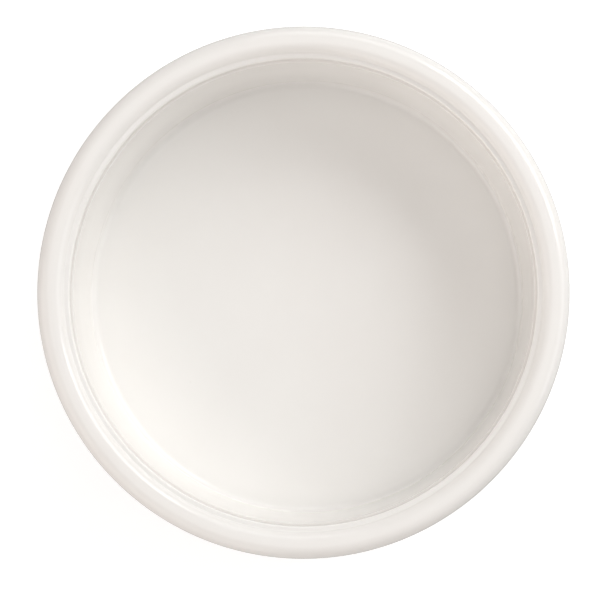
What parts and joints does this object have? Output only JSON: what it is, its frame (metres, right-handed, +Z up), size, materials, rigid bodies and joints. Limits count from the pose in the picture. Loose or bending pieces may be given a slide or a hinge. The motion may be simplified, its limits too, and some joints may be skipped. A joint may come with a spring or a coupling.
{
  "type": "evaporating dish",
  "caption": "Round flat-bottomed evaporating dish in glazed porcelain, with a thick rolled rim, a fine crease under it, steep walls and a low foot ring.",
  "frame": {"origin": "middle of the foot ring's lower face, on the surface that the dish stands on", "axes": "+Z up along the dish's axis; the dish is round, so X and Y are any two level directions"},
  "size_m": [0.08, 0.08, 0.024],
  "materials": {
    "bare_porcelain": "fired, unglazed and matt",
    "white_glaze": "glossy warm white glaze"
  },
  "bodies": {
    "root": {"porcelain_body": "bare_porcelain", "glaze_coat": "white_glaze"}
  },
  "joints": []
}
